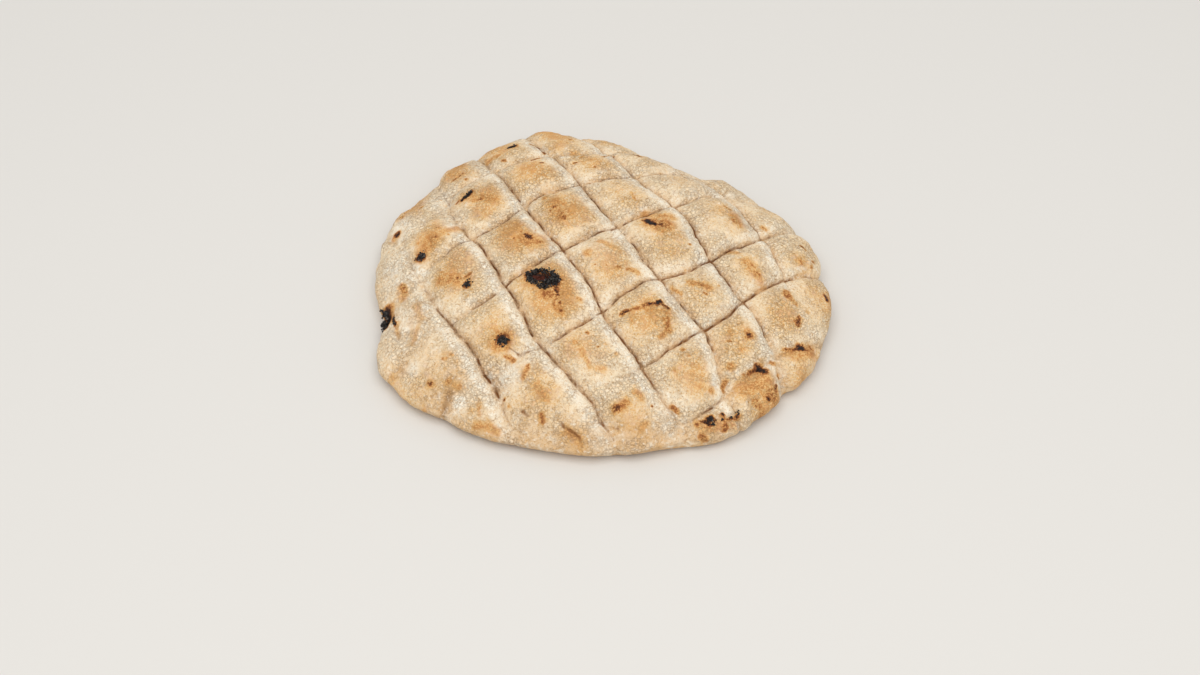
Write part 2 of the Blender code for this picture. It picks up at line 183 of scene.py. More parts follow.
# Browned and burnt places: from x, y to x, y, radius, and how dark the middle is, from 0 to 1.
BURNS = (
    # The large blister and what ran down from it.
    (-30.0, -16.0, -23.0, -20.0, 9.5, 0.58), (-24.0, -26.0, -20.0, -27.0, 5.0, 0.64),
    (-31.0, -14.0, -20.5, -19.5, 4.2, 0.97), (-30.0, -15.8, -24.5, -17.2, 1.2, 0.97),
    (-19.9, -23.2, -19.9, -27.3, 1.5, 0.84), (-18.1, -30.7, -18.1, -30.7, 0.9, 0.82),
    (-21.2, -29.3, -20.3, -33.5, 0.8, 0.70), (-17.2, -35.3, -17.2, -35.3, 2.2, 0.72),
    (-18.0, -33.0, -18.0, -33.0, 6.0, 0.54), (-10.0, -29.0, -10.0, -29.0, 2.2, 0.57),
    # The spot in the pillow before it.
    (-43.0, -47.0, -43.0, -47.0, 8.0, 0.62), (-43.2, -47.3, -42.8, -47.0, 4.8, 0.80),
    (-43.3, -47.2, -42.7, -46.8, 3.0, 1.0), (-41.0, -54.4, -38.4, -56.3, 1.6, 0.64),
    # The left side.
    (-81.0, 5.0, -76.0, 14.0, 6.5, 0.56), (-81.4, 5.0, -80.6, 5.0, 2.8, 0.99),
    (-72.0, 17.0, -66.0, 19.0, 4.0, 0.54), (-74.4, 14.6, -74.4, 14.6, 0.8, 0.82),
    (-69.2, 15.1, -69.2, 15.1, 0.6, 0.76), (-76.1, 19.6, -72.4, 19.4, 0.7, 0.64),
    (-83.2, 12.6, -82.6, 12.9, 1.0, 0.70), (-59.0, -16.0, -59.0, -16.0, 2.6, 0.99),
    (-70.0, -11.0, -60.0, -14.0, 6.0, 0.57), (-71.0, -8.4, -70.8, -8.2, 0.9, 0.74),
    (-67.3, -10.4, -67.1, -10.4, 0.8, 0.74), (-63.4, -12.4, -63.0, -12.7, 0.9, 0.86),
    (-60.0, -11.2, -58.0, -10.6, 1.2, 0.66), (-58.8, -22.6, -58.8, -22.6, 0.8, 0.72),
    (-56.8, -19.3, -56.8, -19.3, 1.0, 0.64), (-94.0, 25.0, -94.0, 25.0, 2.0, 0.97),
    (-95.1, 23.6, -94.0, 25.0, 3.4, 0.58), (-97.5, 15.9, -97.5, 15.9, 0.8, 0.66),
    (-97.0, -18.0, -97.0, -25.0, 3.0, 0.96), (-94.0, -18.0, -94.0, -24.0, 3.0, 0.62),
    (-92.0, -22.4, -91.2, -28.4, 0.9, 0.97), (-90.0, -27.0, -89.0, -34.0, 2.0, 0.54),
    (-88.4, -9.6, -87.8, -12.4, 2.0, 0.68), (-89.0, -10.0, -88.0, -16.0, 3.6, 0.54),
    (-82.0, -22.0, -79.0, -30.0, 4.0, 0.50), (-84.0, -28.0, -82.0, -40.0, 3.0, 0.46),
    # The front left.
    (-73.0, -62.0, -73.0, -62.0, 1.5, 0.88), (-73.0, -62.0, -73.0, -62.0, 3.2, 0.56),
    (-66.5, -62.7, -65.5, -62.0, 2.2, 0.62), (-63.0, -64.2, -61.4, -64.9, 2.6, 0.58),
    (-59.2, -65.4, -59.2, -65.4, 0.7, 0.82), (-67.7, -52.6, -66.9, -52.4, 1.0, 0.66),
    (-64.8, -51.6, -64.4, -51.4, 0.8, 0.62), (-66.9, -51.0, -66.9, -51.0, 4.0, 0.44),
    (-90.6, -29.8, -88.4, -36.5, 2.2, 0.50), (-80.1, -32.9, -81.9, -40.7, 2.4, 0.50),
    (-91.2, -54.0, -91.2, -56.0, 3.0, 0.46), (-75.7, -70.4, -75.7, -70.4, 2.6, 0.52),
    (-55.6, -75.1, -55.6, -75.1, 2.0, 0.52), (-52.6, -72.4, -51.7, -77.1, 1.8, 0.52),
    (-54.0, -81.0, -50.5, -81.0, 2.0, 0.58), (-48.2, -81.8, -44.4, -84.1, 3.0, 0.55),
    (-39.9, -75.6, -39.9, -75.6, 0.8, 0.66), (-42.3, -72.4, -42.3, -72.4, 0.9, 0.97),
    (-31.9, -59.2, -31.9, -60.2, 1.4, 0.66), (-32.0, -59.8, -33.1, -64.2, 2.4, 0.57),
    # The back left and the back edge.
    (-63.8, 37.2, -59.2, 41.8, 1.2, 0.99), (-61.0, 39.0, -50.0, 34.0, 6.0, 0.54),
    (-66.9, 37.6, -65.6, 38.2, 0.8, 0.70), (-56.2, 36.2, -54.9, 35.6, 1.0, 0.74),
    (-58.5, 33.6, -58.5, 33.6, 1.2, 0.64), (-69.6, 55.9, -64.5, 58.8, 0.8, 0.70),
    (-63.6, 53.4, -62.8, 53.6, 1.0, 0.68), (-59.7, 65.9, -59.3, 66.1, 0.8, 0.68),
    (-74.9, 42.8, -74.9, 42.8, 0.7, 0.68), (-83.4, 39.0, -82.4, 39.4, 0.8, 0.72),
    (-92.2, 33.8, -91.0, 34.4, 0.7, 0.66), (-43.5, 76.0, -40.5, 77.0, 1.6, 0.96),
    (-42.0, 76.0, -42.0, 76.0, 4.0, 0.56), (-33.9, 79.7, -30.0, 75.4, 0.8, 0.74),
    (-28.0, 70.8, -27.0, 69.0, 0.9, 0.86), (-32.0, 61.4, -28.0, 63.4, 0.9, 0.74),
    (-29.4, 57.6, -27.2, 57.9, 0.8, 0.82), (-36.6, 63.1, -36.6, 63.1, 0.8, 0.74),
    (-46.4, 65.0, -45.4, 65.2, 1.2, 0.68), (-54.0, 69.0, -48.0, 71.0, 2.6, 0.55),
    (-92.0, 35.0, -88.0, 38.0, 4.0, 0.50), (-19.6, 74.3, -19.6, 74.3, 7.0, 0.47),
    (-14.8, 78.3, -14.0, 78.5, 0.8, 0.70), (-13.0, 67.6, -13.0, 67.6, 4.5, 0.51),
    (-13.8, 57.8, -12.0, 58.1, 0.7, 0.76), (-3.6, 53.9, -3.6, 53.9, 1.0, 0.72),
    (-5.5, 59.9, -5.5, 59.9, 3.0, 0.55), (-10.1, 62.3, -7.8, 64.6, 1.0, 0.66),
    (0.5, 64.0, 5.2, 68.6, 0.8, 0.74), (15.5, 72.0, 18.2, 68.0, 1.1, 0.84),
    # The middle of the back.
    (-34.0, 8.2, -32.0, 7.8, 1.5, 0.88), (-27.3, 5.6, -26.7, 5.4, 1.3, 0.74),
    (-39.6, 6.3, -38.8, 6.5, 1.0, 0.74), (-36.2, 10.2, -35.4, 10.6, 1.0, 0.72),
    (-29.8, 12.4, -29.8, 12.4, 0.8, 0.72), (-36.2, -0.6, -36.2, -0.6, 0.7, 0.70),
    (-34.0, 6.0, -28.0, 6.0, 8.0, 0.57), (-21.8, 36.7, -20.4, 37.4, 0.9, 0.74),
    (-21.9, 25.9, -20.9, 26.1, 1.1, 0.84), (-17.9, 25.1, -17.9, 25.1, 1.0, 0.72),
    (-23.3, 23.1, -23.3, 23.1, 1.0, 0.72), (-17.6, 18.9, -16.6, 17.2, 1.2, 0.78),
    (-25.8, 33.2, -25.8, 33.2, 2.2, 0.58), (-21.0, 28.0, -17.0, 20.0, 7.0, 0.56),
    (-6.2, -2.0, -6.2, -2.0, 3.2, 0.57), (-0.9, 4.3, 6.6, -1.0, 2.6, 0.53),
    (7.0, -12.1, 7.0, -12.1, 2.2, 0.63), (11.3, -11.7, 11.3, -11.7, 1.4, 0.67),
    (12.5, -12.0, 15.7, -12.9, 1.8, 0.59), (-3.1, -9.1, -3.1, -9.1, 0.8, 0.66),
    (2.2, -10.1, 2.2, -10.1, 0.9, 0.66), (14.9, 31.1, 13.1, 34.8, 1.4, 0.55),
    # The back right.
    (20.1, 18.1, 21.8, 15.5, 1.9, 0.97), (21.8, 15.5, 23.6, 14.7, 1.6, 0.97),
    (23.6, 14.7, 26.7, 14.0, 1.2, 0.82), (22.0, 16.5, 28.0, 14.0, 6.0, 0.63),
    (19.4, 24.0, 31.3, 20.2, 3.5, 0.55), (58.6, 22.8, 59.6, 22.2, 1.5, 0.78),
    (55.5, 31.6, 58.5, 30.4, 1.1, 0.70), (60.0, 26.0, 62.0, 21.0, 5.0, 0.54),
    (73.5, 23.4, 75.0, 22.4, 1.5, 0.66), (90.0, 14.8, 91.5, 13.6, 1.1, 0.82),
    (95.0, 8.0, 95.0, 8.0, 1.2, 0.68), (89.0, 5.4, 89.4, 4.6, 1.4, 0.66), (94.2, 4.4, 94.0, 3.4, 1.2, 0.68),
    (88.0, 5.0, 92.0, 4.0, 5.0, 0.46), (39.0, 4.0, 39.0, 4.0, 0.9, 0.84),
    (65.0, -5.0, 69.0, -10.0, 2.4, 0.62), (64.0, -4.0, 70.0, -12.0, 4.5, 0.54),
    (58.0, 3.0, 60.0, 2.0, 2.0, 0.52), (42.6, -19.1, 42.6, -19.1, 1.7, 0.72),
    (38.3, -18.5, 47.0, -20.4, 3.0, 0.56), (44.2, -24.0, 45.8, -24.2, 0.8, 0.68),
    (51.0, -18.8, 51.0, -18.8, 0.8, 0.74), (30.5, -20.2, 34.7, -23.8, 1.2, 0.60),
    # The arc in the middle of the right half.
    (23.2, -31.3, 25.0, -30.4, 1.7, 0.98), (19.8, -31.6, 23.2, -31.3, 1.2, 0.82),
    (25.0, -30.6, 28.4, -33.6, 1.2, 0.80), (9.0, -35.5, 10.7, -34.4, 1.5, 0.84),
    (11.0, -34.6, 19.6, -32.2, 1.3, 0.66), (27.0, -38.2, 28.7, -43.7, 2.4, 0.61),
    (28.7, -43.7, 24.7, -47.2, 2.2, 0.56), (12.8, -40.0, 12.8, -40.0, 2.0, 0.54),
    (20.0, -34.0, 28.0, -36.0, 4.0, 0.52),
    # The front.
    (-7.4, -44.4, -6.3, -45.5, 1.0, 0.82), (-2.2, -52.9, -2.2, -52.9, 0.9, 0.84),
    (-11.1, -49.6, -8.1, -56.4, 2.6, 0.53), (-8.1, -56.4, -5.1, -60.9, 2.2, 0.54),
    (-5.1, -60.9, 0.8, -62.8, 2.4, 0.51), (6.3, -55.3, 6.3, -55.3, 1.6, 0.55),
    (5.6, -78.8, 7.2, -78.2, 2.2, 0.76), (6.3, -78.5, 10.5, -76.0, 3.2, 0.61),
    (14.3, -72.0, 16.8, -73.5, 3.0, 0.53), (20.6, -77.3, 20.6, -77.3, 0.8, 0.86),
    (-25.7, -80.2, -24.9, -82.1, 1.8, 0.66), (-28.0, -68.0, -24.1, -74.2, 3.4, 0.51),
    (18.0, -83.9, 15.9, -86.1, 2.0, 0.55), (-15.0, -86.6, -10.0, -89.4, 2.6, 0.58),
    (-11.0, -88.0, -8.6, -92.0, 1.6, 0.58),
    # The front right, and the puffed lobes of its rim.
    (63.3, -42.0, 63.3, -42.0, 1.9, 0.88), (63.3, -42.0, 63.3, -42.0, 3.8, 0.61),
    (53.9, -45.8, 55.2, -45.4, 0.7, 0.78), (55.1, -41.2, 55.1, -41.2, 4.0, 0.50),
    (60.0, -49.5, 60.0, -49.5, 3.0, 0.52), (68.6, -52.9, 68.6, -52.9, 2.4, 0.52),
    (34.9, -52.3, 34.9, -52.3, 1.4, 0.62), (36.6, -55.1, 36.6, -55.1, 1.4, 0.55),
    (30.9, -61.8, 30.9, -61.8, 2.6, 0.50), (41.4, -68.8, 41.4, -68.8, 5.0, 0.49),
    (46.6, -69.8, 46.6, -69.8, 2.8, 0.56), (29.5, -77.5, 31.6, -78.8, 1.8, 0.68),
    (85.5, -29.4, 85.3, -32.8, 1.4, 0.80), (85.4, -31.0, 85.4, -31.0, 3.0, 0.59),
    (81.2, -17.1, 82.0, -18.8, 2.6, 0.67), (82.0, -18.8, 85.4, -22.2, 2.4, 0.57),
    (89.8, -24.8, 89.8, -24.8, 1.6, 0.53), (99.0, -12.0, 99.2, -14.0, 1.6, 0.86),
    (86.2, -42.6, 87.8, -42.2, 2.4, 0.98), (91.4, -40.4, 92.8, -40.6, 1.0, 0.70),
    (79.1, -45.5, 84.0, -43.5, 1.2, 0.72), (82.0, -47.0, 91.0, -43.0, 4.6, 0.57),
    (74.4, -52.7, 74.4, -52.7, 2.0, 0.66), (66.8, -56.8, 69.0, -56.4, 2.1, 0.94),
    (63.3, -59.4, 66.8, -56.8, 1.5, 0.76), (61.0, -60.8, 61.0, -60.8, 1.2, 0.68),
    (55.5, -58.2, 55.5, -58.2, 2.6, 0.61), (53.6, -64.0, 51.8, -68.2, 1.6, 0.66),
    (61.0, -66.0, 70.0, -60.0, 6.5, 0.55), (65.0, -70.1, 67.2, -71.4, 2.6, 0.65),
    (76.6, -56.6, 77.0, -57.9, 1.0, 0.86), (70.3, -67.9, 70.3, -67.9, 1.0, 0.88),
    (72.6, -66.1, 72.6, -66.1, 1.0, 0.86), (74.0, -62.2, 73.1, -63.6, 0.9, 0.88),
    (69.0, -66.3, 69.0, -66.3, 0.9, 0.78), (68.8, -66.8, 73.5, -64.0, 3.2, 0.62),
    (45.0, -81.0, 47.0, -80.6, 1.9, 0.99), (42.6, -81.7, 43.4, -81.7, 0.8, 0.92),
    (44.8, -82.4, 45.8, -82.3, 1.0, 0.92), (51.0, -78.5, 51.2, -78.5, 0.9, 0.94),
    (53.7, -79.2, 55.0, -78.1, 0.8, 0.94), (57.0, -77.4, 58.0, -77.0, 1.4, 0.96),
    (52.0, -83.6, 52.0, -82.4, 1.6, 0.76), (52.0, -81.0, 52.0, -79.6, 2.4, 0.60),
    (40.1, -83.1, 40.1, -83.1, 2.0, 0.70), (42.0, -86.6, 44.0, -87.6, 1.8, 0.68),
    (43.0, -84.0, 55.0, -81.0, 4.0, 0.54),
)
# How a burn fades away from its middle, and how ragged it is: length and reach of each waver.
BURN_FALL = (0.7, 2.4)
BURN_WAVER = ((5.0, 1.1), (1.6, 0.5))
# The torn middle of the large blister: from x, y to x, y.
BLISTER_HOLE = (-30.2, -15.6, -24.6, -17.2)
BLISTER_HOLE_WIDTH = 1.7
BLISTER_HOLE_EDGE = 4
# Trails of burnt crumbs: the places they run through, their spread, how high they are heaped, and their number.
CRUMB_TRAILS = (
    (
        ((-31.6, -12.8), (-28.6, -11.9), (-25.0, -13.2), (-21.8, -15.6), (-18.8, -19.4), (-22.6, -21.8),
         (-25.4, -23.2), (-28.2, -20.9), (-31.4, -19.4), (-32.0, -15.4), (-31.6, -12.8)), 0.7, 1.1, 380,
    ),
    (((-25.6, -21.0), (-21.0, -18.8)), 0.8, 1.3, 80),
    (((-44.0, -47.4), (-42.0, -46.6)), 1.1, 0.5, 60),
    (((-63.8, 37.2), (-59.2, 41.8)), 0.35, 0.4, 26),
    (((-81.8, 5.0), (-80.2, 5.0)), 0.9, 0.4, 34),
    (((-59.5, -16.0), (-58.5, -16.0)), 0.9, 0.4, 32),
    (((-43.0, 76.2), (-41.0, 76.8)), 0.6, 0.4, 14),
    (((45.2, -81.2), (47.2, -80.6)), 0.6, 0.4, 16),
    (((57.4, -76.0), (57.8, -75.8)), 0.4, 0.3, 5),
    (((54.2, -78.8), (54.8, -78.5)), 0.3, 0.3, 3),
    (((51.2, -79.4), (51.2, -79.4)), 0.3, 0.3, 3),
    (((-91.9, -23.0), (-91.3, -28.0)), 0.35, 0.3, 16),
    (((-97.5, -17.5), (-98.0, -21.0), (-97.0, -25.0)), 1.1, 1.6, 130),
)
# A crumb's radius, how far it is stretched, how far each corner is moved, and how many it has.
CRUMB_SIZES = (0.28, 0.6)
CRUMB_STRETCH = (0.6, 1.2)
CRUMB_JITTER = 0.3
CRUMB_CORNERS = 12
# Reach and power of fall of the line of painted shade along each slit.
CREASE_SHADE_REACH = (0.7, 2.0)
# Flour beside the rising cuts and the falling ones: its middle from the cut, its reach and its strength.
FLOURED_LIPS = ((3.6, 2.0, 0.35), (-3.6, 2.8, 0.95))
# How far the painted shade on a cut's slopes reaches before it and behind it, for rising cuts and for falling
# ones.
SLOPE_SHADE_REACH = ((1.2, 1.8), (0.8, 2.2))
# Places of painted shade in the hollows, along the front edge and on the back right: from x, y to x, y, radius
# and strength.
PAINTED_SHADE_PLACES = (
    (-87.0, -53.0, -87.0, -53.0, 3.6, 1.2), (-65.0, -67.0, -68.5, -75.0, 3.2, 1.4),
    (-60.0, -60.0, -70.0, -70.0, 10.0, 0.7), (-45.0, -61.0, -41.0, -66.0, 3.5, 0.9),
    (-90.0, -50.0, -80.0, -40.0, 9.0, 0.35), (36.0, -90.0, 44.0, -88.0, 5.0, 0.5),
    (-66.0, -84.0, -34.0, -92.0, 8.0, 0.9), (-34.0, -89.0, -12.0, -94.0, 8.0, 0.9),
    (-16.0, -90.0, 34.0, -89.0, 9.0, 0.95), (-27.0, -82.0, -34.0, -84.0, 5.0, 0.7),
    (-49.0, -60.0, -45.5, -67.5, 2.6, 1.4), (-53.0, -57.0, -49.0, -65.0, 3.4, 0.8),
    (54.0, 44.0, 30.0, 62.0, 14.0, 0.3), (-74.0, -72.0, -62.0, -80.0, 6.0, 0.6),
    (-58.0, -76.0, -18.0, -86.0, 13.0, 0.35), (77.5, -57.0, 80.0, -63.0, 3.5, 0.9),
    (-98.0, -21.0, -94.0, -21.0, 5.0, 0.8), (-60.0, -42.0, -52.0, -54.0, 3.0, 0.6),
)
# Floury places: x, y, radius and strength.
FLOURED = (
    (-60.5, -71.5, 3.6, 1.0), (-81.5, -54.0, 4.0, 0.9), (-92.0, 28.0, 8.0, 0.9), (-92.0, 4.0, 8.0, 0.9),
    (-84.0, -4.0, 7.0, 0.8), (-74.0, 44.0, 8.0, 0.7), (-66.0, 26.0, 7.0, 0.5), (-85.0, -30.0, 14.0, 0.7),
    (-92.0, -6.0, 9.0, 0.7), (50.0, -79.0, 8.0, 0.4), (-40.0, -63.0, 6.0, 1.0), (-32.0, -56.0, 6.0, 0.6),
    (-52.0, -66.0, 7.0, 0.5), (-24.0, -52.0, 6.0, 0.4), (-6.0, -62.0, 12.0, 0.3), (30.0, -76.0, 9.0, 0.4),
    (0.0, 4.0, 14.0, 0.25), (-52.0, -4.0, 12.0, 0.25), (46.0, 16.0, 12.0, 0.15), (-74.0, -46.0, 12.0, 0.3),
    (-56.0, 52.0, 8.0, 0.3),
)


def smoothstep(low, high, value):
    share = np.clip((value - low) / (high - low), 0.0, 1.0)
    return share * share * (3.0 - 2.0 * share)


def catmull_rom(before, start, end, after, share):
    """The smooth curve from start to end that would go on through before and after."""
    return start + 0.5 * share * (
        end - before + share * (
            2.0 * before - 5.0 * start + 4.0 * end - after
            + share * (3.0 * (start - end) + after - before)
        )
    )


def rim_radius(angle):
    """Distance of the widest line from the origin, smooth all the way round."""
    radii = np.array(RIM_RADII)
    place = np.mod(angle, 2.0 * math.pi) / (2.0 * math.pi) * len(radii)
    index = np.floor(place).astype(int)
    around = [radii[(index + step) % len(radii)] for step in (-1, 0, 1, 2)]
    return catmull_rom(*around, place - index)


def along_cut(values, station):
    """A cut's value at a station, smooth between the table's and straight on past them."""
    first, last = values[0], values[-1]
    padded = np.array((2 * first - values[1], *values, 2 * last - values[-2]))
    spacing = CUT_STATIONS[1] - CUT_STATIONS[0]
    place = (station - CUT_STATIONS[0]) / spacing
    index = np.clip(np.floor(place), 0, len(values) - 2).astype(int)
    around = [padded[index + step] for step in range(4)]
    inside = catmull_rom(*around, np.clip(place - index, 0.0, 1.0))
    past_end = np.maximum(place - (len(values) - 1), 0.0) * (last - values[-2])
    past_start = np.minimum(place, 0.0) * (values[1] - first)
    return inside + past_end + past_start


def plumpness(angle):
    """1 where the rim is plump, at the back, down to 0 where it is thin."""
    return 0.5 - 0.5 * np.cos(angle - THINNEST_RIM_ANGLE)


def dome_power(angle):
    return DOME_POWER[1] + (DOME_POWER[0] - DOME_POWER[1]) * plumpness(angle)


def section(angle, turn):
    """Distance from the axis and height, for a place on the smooth loaf.

    turn runs from 0 at the crown to 1 at the widest line, 2 at the base's edge and 3 at the base's middle.
    """
    plump = plumpness(angle)
    sharpness = DOME_SHARPNESS[1] + (DOME_SHARPNESS[0] - DOME_SHARPNESS[1]) * plump
    rim_height = RIM_HEIGHT_FRONT + (RIM_HEIGHT_BACK - RIM_HEIGHT_FRONT) * plump
    radius = rim_radius(angle)

    over = np.clip(turn, 0.0, 1.0) * 0.5 * math.pi
    top_radius = radius * np.sin(over) ** (2.0 / dome_power(angle))
    upwards = np.maximum(np.cos(over), 0.0) ** (2.0 * sharpness)
    top_height = rim_height + (CROWN_HEIGHT - rim_height) * upwards

    under = np.clip(turn - 1.0, 0.0, 1.0) * 0.5 * math.pi
    inward = np.clip(turn - 2.0, 0.0, 1.0)
    low_radius = (radius - BASE_INSET * (1.0 - np.cos(under))) * (1.0 - inward)
    low_height = rim_height * (1.0 - np.sin(under))

    on_top = turn <= 1.0
    return np.where(on_top, top_radius, low_radius), np.where(on_top, top_height, low_height)


def dome_turn(angle, radius):
    """The turn at which the top of the loaf lies at this distance from the axis."""
    share = np.clip(radius / rim_radius(angle), 0.0, 1.0)
    return np.arcsin(share ** (0.5 * dome_power(angle))) / (0.5 * math.pi)


def lattice_place(x, y):
    """(along, across) a rising cut; a falling cut has the two the other way round."""
    along = x * math.cos(LATTICE_ANGLE) + y * math.sin(LATTICE_ANGLE)
    across = y * math.cos(LATTICE_ANGLE) - x * math.sin(LATTICE_ANGLE)
    return along, across


def plan_place(along, across):
    x = along * math.cos(LATTICE_ANGLE) - across * math.sin(LATTICE_ANGLE)
    y = along * math.sin(LATTICE_ANGLE) + across * math.cos(LATTICE_ANGLE)
    return x, y


def cut_distances(along, across, cuts, phases):
    """For each cut of one family: the signed distance of each place from it, and its depth share there."""
    found = []
    for (offsets, depths), phase in zip(cuts, phases):
        track = along_cut(offsets, along) + WOBBLE * np.sin(along / WOBBLE_LENGTH + phase)
        share = np.clip(along_cut(depths, along), 0.0, 1.0)
        found.append((across - track, share))
    return found


def wobble_phases():
    rng = np.random.default_rng(RANDOM_SEED)
    return rng.uniform(0.0, 2.0 * math.pi, (2, len(RISING_CUTS)))


def waver(x, y, sizes, seed):
    """How far unevenness of these lengths and reaches shifts each place, in x and in y."""
    flat = np.stack((x, y, np.zeros_like(x)), axis=1)
    shift_x, shift_y = np.zeros_like(x), np.zeros_like(x)
    for step, (length, reach) in enumerate(sizes):
        shift_x += reach * rough(flat, length, 1, seed + 2 * step)
        shift_y += reach * rough(flat, length, 1, seed + 2 * step + 1)
    return shift_x, shift_y


def all_cuts(x, y):
    """The distances from the rising cuts and from the falling ones."""
    shift_x, shift_y = waver(x, y, RAGGED, CUT_SEED)
    along, across = lattice_place(x + shift_x, y + shift_y)
    phases = wobble_phases()
    rising = cut_distances(along, across, RISING_CUTS, phases[0])
    falling = cut_distances(across, along, FALLING_CUTS, phases[1])
    return rising, falling


def crowd_towards_cuts(x, y):
    """Draws the places nearest a cut closer to it, so that its valley has enough points."""
    shift_x, shift_y = waver(x, y, RAGGED, CUT_SEED)
    along, across = lattice_place(x + shift_x, y + shift_y)
    phases = wobble_phases()
    for distance, share in cut_distances(along, across, RISING_CUTS, phases[0]):
        across = across - distance * share * CROWDING * np.exp(-((distance / CROWDING_REACH) ** 2))
    for distance, share in cut_distances(across, along, FALLING_CUTS, phases[1]):
        along = along - distance * share * CROWDING * np.exp(-((distance / CROWDING_REACH) ** 2))
    near_x, near_y = plan_place(along, across)
    return near_x - shift_x, near_y - shift_y


def depth_in_cuts(cuts, reach, power):
    """1 at the bottom of a full cut, falling to 0 away from all of them."""
    uncut = 1.0
    for distance, share in cuts:
        uncut = uncut * (1.0 - share * np.exp(-((np.abs(distance) / reach) ** power)))
    return 1.0 - uncut


def away_from(x, y, start_x, start_y, end_x, end_y):
    """Distance of each place from a short straight line."""
    run_x, run_y = end_x - start_x, end_y - start_y
    length = max(run_x**2 + run_y**2, 1e-9)
    share = np.clip(((x - start_x) * run_x + (y - start_y) * run_y) / length, 0.0, 1.0)
    return np.hypot(x - start_x - share * run_x, y - start_y - share * run_y)


def slits_of(x, y, cuts):
    """The open slits at the bottom of the cuts, closed up here and there, and the small cracks."""
    flat = np.stack((x, y, np.zeros_like(x)), axis=1)
    open_share = smoothstep(*SLIT_OPENING, rough(flat, SLIT_BREAKS, 2, SLIT_SEED))
    *ends, reach = SLIT_HIDDEN
    open_share *= smoothstep(0.5 * reach, reach, away_from(x, y, *ends))
    slits = [
        (distance, share * open_share * smoothstep(*SHALLOWEST_SLIT, share)) for distance, share in cuts
    ]
    shift_x, shift_y = waver(x, y, RAGGED, CRACK_SEED)
    cracks = [(away_from(x + shift_x, y + shift_y, *ends), share) for *ends, share in CRACKS]
    return slits + cracks


def relief(x, y, rising, falling, slits):
    """How far the crust stands proud of the smooth loaf: pillows, cuts with one lip raised, and swells."""
    height = -VALLEY[0] * depth_in_cuts(rising + falling, *VALLEY[1:])
    height -= CREASE[0] * depth_in_cuts(rising + falling, *CREASE[1:])
    height -= SLIT[0] * depth_in_cuts(slits, *SLIT[1:])
    for cuts, lip in zip((rising, falling), LIP_HEIGHTS):
        for distance, share in cuts:
            height -= share * lip * np.tanh(distance) * np.exp(-np.abs(distance) / LIP_WIDTH)
    for *ends, radius, swell in SWELLS:
        height += swell * np.exp(-((away_from(x, y, *ends) / radius) ** 2))
    return height


def rough(points, length, octaves, seed):
    """Even noise from about -1 to 1 over these points, with lumps of this length."""
    shift = SEED_SHIFT * seed
    return np.array([noise.fractal(Vector(point) / length + shift, *OCTAVES, octaves) for point in points])


def skin(points):
    """The unevenness of the crust itself."""
    height = np.zeros(len(points))
    for seed, (length, size) in enumerate(SKIN):
        height += size * rough(points, length, 2, seed + 1)
    return height


def turn_of_share():
    """A table that spreads the ball's faces over the loaf: share of the ball passed, and the turn there."""
    turn = np.linspace(0.0, 3.0, SPREAD_STEPS)
    radius, height = section(np.full_like(turn, 0.5 * math.pi), turn)
    strip = np.hypot(np.diff(radius), np.diff(height)) * 0.5 * (radius[1:] + radius[:-1])
    middle = np.floor(0.5 * (turn[1:] + turn[:-1])).astype(int)
    strip *= np.array(MESH_WEIGHTS)[middle]
    passed = np.concatenate(([0.0], np.cumsum(strip)))
    return passed / passed[-1], turn


def loaf_points(ball):
    """Moves the points of a unit ball to the smooth loaf."""
    angle = np.arctan2(ball[:, 1], ball[:, 0]) + LATTICE_ANGLE
    share, turns = turn_of_share()
    turn = np.interp(0.5 * (1.0 - ball[:, 2]), share, turns)
    radius, height = section(angle, turn)
    x, y = radius * np.cos(angle), radius * np.sin(angle)

    near_x, near_y = crowd_towards_cuts(x, y)
    pull = (turn < 1.0) * (1.0 - smoothstep(*CROWDING_LIMITS, radius / rim_radius(angle)))
    x = x + pull * (near_x - x)
    y = y + pull * (near_y - y)
    moved_angle, moved_radius = np.arctan2(y, x), np.hypot(x, y)
    _, moved_height = section(moved_angle, dome_turn(moved_angle, moved_radius))
    height = np.where(pull > 0.0, moved_height, height)
    return np.stack((x, y, height), axis=1)


def ball_mesh():
    """A unit ball of square faces, evenly sized."""
    mesh = bmesh.new()
    bmesh.ops.create_cube(mesh, size=2.0)
    bmesh.ops.subdivide_edges(mesh, edges=mesh.edges[:], cuts=BALL_CUTS, use_grid_fill=True)
    for vertex in mesh.verts:
        vertex.co = [math.tan(part * 0.25 * math.pi) for part in vertex.co]
        vertex.co.normalize()
    return mesh


def set_points(mesh, points):
    for vertex, point in zip(mesh.verts, points):
        vertex.co = point
    mesh.normal_update()


def pillow_place(distances):
    """Row or column number of the pillow, and the place across it from its near or left cut, 0 to 1."""
    signed = np.array([distance for distance, _ in distances])
    number = (signed < 0.0).sum(axis=0)
    near = np.where(signed > 0.0, signed, np.inf).min(axis=0)
    far = np.where(signed <= 0.0, -signed, np.inf).min(axis=0)
    near = np.minimum(near, OUTER_PILLOW)
    far = np.minimum(far, OUTER_PILLOW)
    return number, near / (near + far)


def golden(rising, falling):
    """How far the crown of each pillow has browned."""
    row, across = pillow_place(rising)
    column, along = pillow_place(falling)
    rng = np.random.default_rng(RANDOM_SEED)
    wander = rng.uniform(-PATCH_WANDER, PATCH_WANDER, (2, *np.shape(BAKING)))
    off_along = along - PATCH_MIDDLE[0] - wander[0][row, column]
    off_across = across - PATCH_MIDDLE[1] - wander[1][row, column]
    patch = np.exp(-((off_along**2 + off_across**2) / (2.0 * PATCH_SIZE**2)) ** PATCH_EDGE)
    return np.array(BAKING)[row, column] * patch


